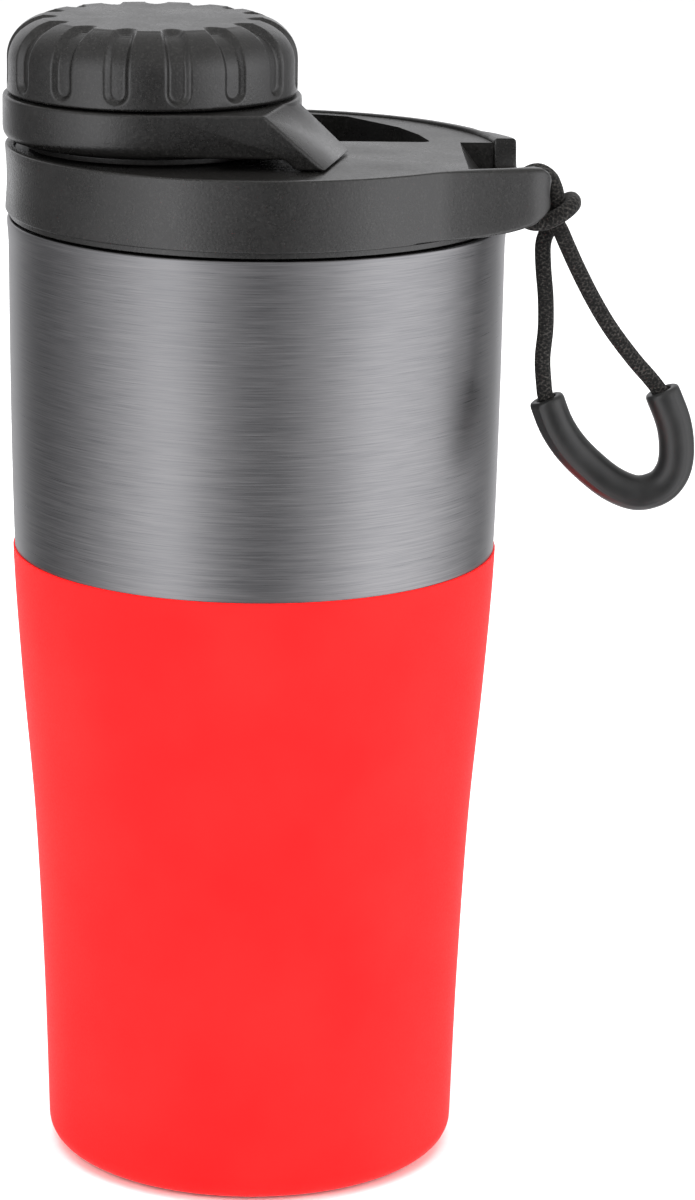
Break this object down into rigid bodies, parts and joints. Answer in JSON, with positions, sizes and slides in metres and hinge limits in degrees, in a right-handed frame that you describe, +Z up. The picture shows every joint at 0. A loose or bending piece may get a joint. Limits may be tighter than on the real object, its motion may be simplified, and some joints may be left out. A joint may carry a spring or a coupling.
{
  "type": "insulated travel tumbler",
  "caption": "Waisted steel drinking tumbler with a coloured lower sleeve, screw lid, screw cap over an offset spout, and a cord pull with a U-shaped grip.",
  "frame": {"origin": "centre of the flat base, on the vessel's axis", "axes": "+Z up the vessel's axis, +X towards the cord's lug, the spout lies towards -X, and -Y is the front"},
  "size_m": [0.1171, 0.0854, 0.1993],
  "materials": {
    "brushed_steel": "brushed, mid grey",
    "red_coat": "satin powder coat",
    "liner_steel": "smooth",
    "base_steel": "spun",
    "port_seal": "dull solder glass",
    "getter_alloy": "sintered, matt",
    "silicone": "matt",
    "black_plastic": "fine matt texture",
    "inner_plastic": "smooth matt",
    "foam": "closed-cell foam",
    "band_plastic": "fine matt texture",
    "cord_braid": "round braid",
    "grip_rubber": "smooth satin"
  },
  "bodies": {
    "vessel": {"outer_steel_shell": "brushed_steel", "lower_colour_coat": "red_coat", "inner_steel_liner": "liner_steel", "base_cover": "base_steel", "vacuum_port_seal": "port_seal", "getter_pellet": "getter_alloy"},
    "lid_seal": {"lid_gasket": "silicone"},
    "lid": {"lid_base_plate": "black_plastic", "lid_deck": "black_plastic", "lid_plug": "inner_plastic", "foam_insert": "foam", "carry_band": "band_plastic", "spout_neck": "inner_plastic", "spout_collar": "black_plastic", "cord_hitch": "cord_braid"},
    "cap_seal": {"cap_gasket": "silicone"},
    "cap": {"cap_shell": "black_plastic", "cap_liner": "inner_plastic"},
    "pull": {"cord_left_strand": "cord_braid", "cord_right_strand": "cord_braid", "pull_grip": "grip_rubber"}
  },
  "joints": [
    {"name": "lid_lift", "type": "slide", "parent": "vessel", "child": "lid_seal", "axis": [0, 0, 1], "range_m": [0, 0.006]},
    {"name": "lid_turn", "type": "hinge", "parent": "lid_seal", "child": "lid", "pos_m": [0, 0, 0.1652], "axis": [0, 0, 1], "range_deg": [0, 540]},
    {"name": "cap_lift", "type": "slide", "parent": "lid", "child": "cap_seal", "axis": [0, 0, 1], "range_m": [0, 0.0045]},
    {"name": "cap_turn", "type": "hinge", "parent": "cap_seal", "child": "cap", "pos_m": [-0.0178, 0, 0.186], "axis": [0, 0, 1], "range_deg": [0, 540]},
    {"name": "pull_swing", "type": "hinge", "parent": "lid", "child": "pull", "pos_m": [0.0498, -0.015, 0.1674], "axis": [0, -1, 0], "range_deg": [-8, 65]}
  ],
  "couplings": [
    {"joint": "lid_lift", "follows": "lid_turn", "m_per_rad": 0.000636},
    {"joint": "cap_lift", "follows": "cap_turn", "m_per_rad": 0.000477}
  ]
}
